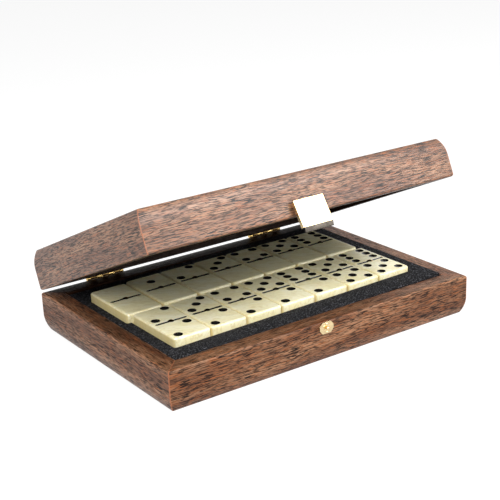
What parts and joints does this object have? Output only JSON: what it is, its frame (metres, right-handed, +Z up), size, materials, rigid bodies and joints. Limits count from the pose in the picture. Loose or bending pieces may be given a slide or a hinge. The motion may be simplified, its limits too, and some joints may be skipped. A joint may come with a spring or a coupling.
{
  "type": "domino storage box",
  "caption": "Hinged wooden box with mitred bowed sides, a brass clasp and a black foam tray that holds stacked ivory dominoes.",
  "frame": {"origin": "middle of the underside of the base, on the surface that the box stands on", "axes": "+X along the front of the box to the right, +Y from the front to the hinges, +Z up"},
  "size_m": [0.24, 0.1775, 0.119],
  "materials": {
    "walnut_print": "satin walnut-grained print",
    "walnut_panel": "satin walnut-grained print",
    "black_foam": "matt flecked foam",
    "hinge_brass": "polished",
    "clasp_brass": "bright polished",
    "spring_steel": "bright",
    "ivory": "polished, with pearly veins"
  },
  "bodies": {
    "base": {"base_front_rail": "walnut_print", "base_back_rail": "walnut_print", "base_left_rail": "walnut_print", "base_right_rail": "walnut_print", "base_panel": "walnut_panel", "foam_floor": "black_foam", "foam_tray": "black_foam", "keeper_plate": "clasp_brass", "keeper_stud": "clasp_brass", "left_hinge_base_leaf": "hinge_brass", "left_hinge_pin": "hinge_brass", "right_hinge_base_leaf": "hinge_brass", "right_hinge_pin": "hinge_brass", "base_hinge_screws": "hinge_brass", "domino_1_1": "ivory", "domino_2_1": "ivory", "domino_3_1": "ivory", "domino_4_1": "ivory", "domino_5_1": "ivory", "domino_6_1": "ivory", "domino_3_3": "ivory", "domino_4_3": "ivory", "domino_5_3": "ivory", "domino_6_3": "ivory", "domino_4_4": "ivory", "domino_5_4": "ivory", "domino_6_4": "ivory", "domino_6_6": "ivory"},
    "lid": {"lid_front_rail": "walnut_print", "lid_back_rail": "walnut_print", "lid_left_rail": "walnut_print", "lid_right_rail": "walnut_print", "lid_panel": "walnut_panel", "lid_pad": "black_foam", "left_hinge_lid_leaf": "hinge_brass", "right_hinge_lid_leaf": "hinge_brass", "lid_hinge_screws": "hinge_brass", "clasp_leaf": "clasp_brass", "clasp_nails": "clasp_brass"},
    "flap": {"clasp_flap": "clasp_brass", "clasp_spring": "spring_steel", "clasp_pin": "clasp_brass"},
    "lift_domino_2_2": {"domino_2_2": "ivory"},
    "lift_domino_3_2": {"domino_3_2": "ivory"},
    "lift_domino_4_2": {"domino_4_2": "ivory"},
    "lift_domino_5_2": {"domino_5_2": "ivory"},
    "lift_domino_6_2": {"domino_6_2": "ivory"},
    "lift_domino_5_5": {"domino_5_5": "ivory"},
    "lift_domino_6_5": {"domino_6_5": "ivory"},
    "lift_domino_0_0": {"domino_0_0": "ivory"},
    "lift_domino_1_0": {"domino_1_0": "ivory"},
    "lift_domino_2_0": {"domino_2_0": "ivory"},
    "lift_domino_3_0": {"domino_3_0": "ivory"},
    "lift_domino_4_0": {"domino_4_0": "ivory"},
    "lift_domino_5_0": {"domino_5_0": "ivory"},
    "lift_domino_6_0": {"domino_6_0": "ivory"}
  },
  "joints": [
    {"name": "lid_hinge", "type": "hinge", "parent": "base", "child": "lid", "pos_m": [0, 0.08445, 0.0278], "axis": [-1, 0, 0], "range_deg": [-23.7, 156.3]},
    {"name": "clasp_hinge", "type": "hinge", "parent": "lid", "child": "flap", "pos_m": [-0.0035, -0.06765, 0.10287], "axis": [-1, 0, 0], "range_deg": [-11.3, 63.7]},
    {"name": "lift_domino_2_2", "type": "slide", "parent": "base", "child": "lift_domino_2_2", "axis": [0, 0, 1], "range_m": [0, 0.013]},
    {"name": "lift_domino_3_2", "type": "slide", "parent": "base", "child": "lift_domino_3_2", "axis": [0, 0, 1], "range_m": [0, 0.013]},
    {"name": "lift_domino_4_2", "type": "slide", "parent": "base", "child": "lift_domino_4_2", "axis": [0, 0, 1], "range_m": [0, 0.013]},
    {"name": "lift_domino_5_2", "type": "slide", "parent": "base", "child": "lift_domino_5_2", "axis": [0, 0, 1], "range_m": [0, 0.013]},
    {"name": "lift_domino_6_2", "type": "slide", "parent": "base", "child": "lift_domino_6_2", "axis": [0, 0, 1], "range_m": [0, 0.013]},
    {"name": "lift_domino_5_5", "type": "slide", "parent": "base", "child": "lift_domino_5_5", "axis": [0, 0, 1], "range_m": [0, 0.013]},
    {"name": "lift_domino_6_5", "type": "slide", "parent": "base", "child": "lift_domino_6_5", "axis": [0, 0, 1], "range_m": [0, 0.013]},
    {"name": "lift_domino_0_0", "type": "slide", "parent": "base", "child": "lift_domino_0_0", "axis": [0, 0, 1], "range_m": [0, 0.013]},
    {"name": "lift_domino_1_0", "type": "slide", "parent": "base", "child": "lift_domino_1_0", "axis": [0, 0, 1], "range_m": [0, 0.013]},
    {"name": "lift_domino_2_0", "type": "slide", "parent": "base", "child": "lift_domino_2_0", "axis": [0, 0, 1], "range_m": [0, 0.013]},
    {"name": "lift_domino_3_0", "type": "slide", "parent": "base", "child": "lift_domino_3_0", "axis": [0, 0, 1], "range_m": [0, 0.013]},
    {"name": "lift_domino_4_0", "type": "slide", "parent": "base", "child": "lift_domino_4_0", "axis": [0, 0, 1], "range_m": [0, 0.013]},
    {"name": "lift_domino_5_0", "type": "slide", "parent": "base", "child": "lift_domino_5_0", "axis": [0, 0, 1], "range_m": [0, 0.013]},
    {"name": "lift_domino_6_0", "type": "slide", "parent": "base", "child": "lift_domino_6_0", "axis": [0, 0, 1], "range_m": [0, 0.013]}
  ]
}
